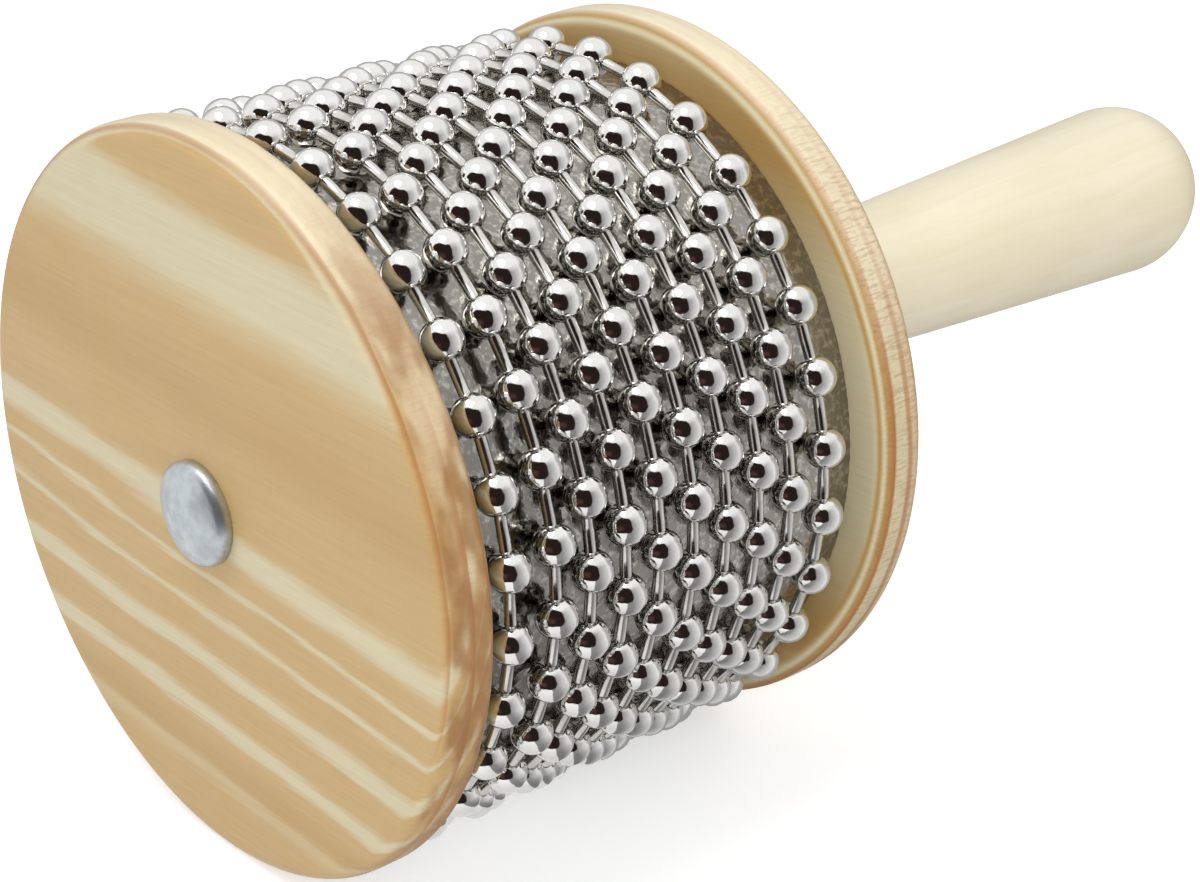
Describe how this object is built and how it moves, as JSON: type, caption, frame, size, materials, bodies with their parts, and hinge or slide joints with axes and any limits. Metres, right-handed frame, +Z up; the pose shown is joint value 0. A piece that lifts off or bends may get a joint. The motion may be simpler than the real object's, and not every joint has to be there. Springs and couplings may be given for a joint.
{
  "type": "cabasa",
  "caption": "Hand cabasa: rows of steel bead chain that turn freely round a sleeved wooden drum between two round discs, with a tapered handle.",
  "frame": {"origin": "on the surface that the discs' rims lie on, under the middle of the whole length", "axes": "+X along the drum's axis towards the handle's tip, +Z up, +Y to the left of +X"},
  "size_m": [0.1682, 0.0856, 0.0855],
  "materials": {
    "pine": "satin lacquered pine with cream and orange-brown grain bands",
    "core_wood": "plain turned wood",
    "handle_wood": "pale fine-grained turned wood, satin",
    "sleeve_steel": "bright embossed sheet",
    "bright_nickel": "polished nickel-plated steel",
    "link_nickel": "polished nickel-plated steel",
    "zinc": "dull zinc plating",
    "brad_steel": "plain bright steel",
    "insert_steel": "yellow zinc plating"
  },
  "bodies": {
    "drum_and_handle": {"front_disc": "pine", "rear_disc": "pine", "drum_core": "core_wood", "steel_sleeve": "sleeve_steel", "sleeve_brads": "brad_steel", "centre_bolt": "zinc", "handle_insert": "insert_steel", "handle": "handle_wood"},
    "bead_row_01": {"row_01_balls": "bright_nickel", "row_01_links": "link_nickel"},
    "bead_row_02": {"row_02_balls": "bright_nickel", "row_02_links": "link_nickel"},
    "bead_row_03": {"row_03_balls": "bright_nickel", "row_03_links": "link_nickel"},
    "bead_row_04": {"row_04_balls": "bright_nickel", "row_04_links": "link_nickel"},
    "bead_row_05": {"row_05_balls": "bright_nickel", "row_05_links": "link_nickel"},
    "bead_row_06": {"row_06_balls": "bright_nickel", "row_06_links": "link_nickel"},
    "bead_row_07": {"row_07_balls": "bright_nickel", "row_07_links": "link_nickel"},
    "bead_row_08": {"row_08_balls": "bright_nickel", "row_08_links": "link_nickel"},
    "bead_row_09": {"row_09_balls": "bright_nickel", "row_09_links": "link_nickel"},
    "bead_row_10": {"row_10_balls": "bright_nickel", "row_10_links": "link_nickel"}
  },
  "joints": [
    {"name": "row_01_turn", "type": "hinge", "parent": "drum_and_handle", "child": "bead_row_01", "pos_m": [-0.0712, 0, 0.04275], "axis": [1, 0, 0], "continuous": true},
    {"name": "row_02_turn", "type": "hinge", "parent": "drum_and_handle", "child": "bead_row_02", "pos_m": [-0.0652, 0, 0.04275], "axis": [1, 0, 0], "continuous": true},
    {"name": "row_03_turn", "type": "hinge", "parent": "drum_and_handle", "child": "bead_row_03", "pos_m": [-0.0604, 0, 0.04275], "axis": [1, 0, 0], "continuous": true},
    {"name": "row_04_turn", "type": "hinge", "parent": "drum_and_handle", "child": "bead_row_04", "pos_m": [-0.0556, 0, 0.04275], "axis": [1, 0, 0], "continuous": true},
    {"name": "row_05_turn", "type": "hinge", "parent": "drum_and_handle", "child": "bead_row_05", "pos_m": [-0.0508, 0, 0.04275], "axis": [1, 0, 0], "continuous": true},
    {"name": "row_06_turn", "type": "hinge", "parent": "drum_and_handle", "child": "bead_row_06", "pos_m": [-0.046, 0, 0.04275], "axis": [1, 0, 0], "continuous": true},
    {"name": "row_07_turn", "type": "hinge", "parent": "drum_and_handle", "child": "bead_row_07", "pos_m": [-0.0412, 0, 0.04275], "axis": [1, 0, 0], "continuous": true},
    {"name": "row_08_turn", "type": "hinge", "parent": "drum_and_handle", "child": "bead_row_08", "pos_m": [-0.0364, 0, 0.04275], "axis": [1, 0, 0], "continuous": true},
    {"name": "row_09_turn", "type": "hinge", "parent": "drum_and_handle", "child": "bead_row_09", "pos_m": [-0.0316, 0, 0.04275], "axis": [1, 0, 0], "continuous": true},
    {"name": "row_10_turn", "type": "hinge", "parent": "drum_and_handle", "child": "bead_row_10", "pos_m": [-0.0263, 0, 0.04275], "axis": [1, 0, 0], "continuous": true}
  ]
}
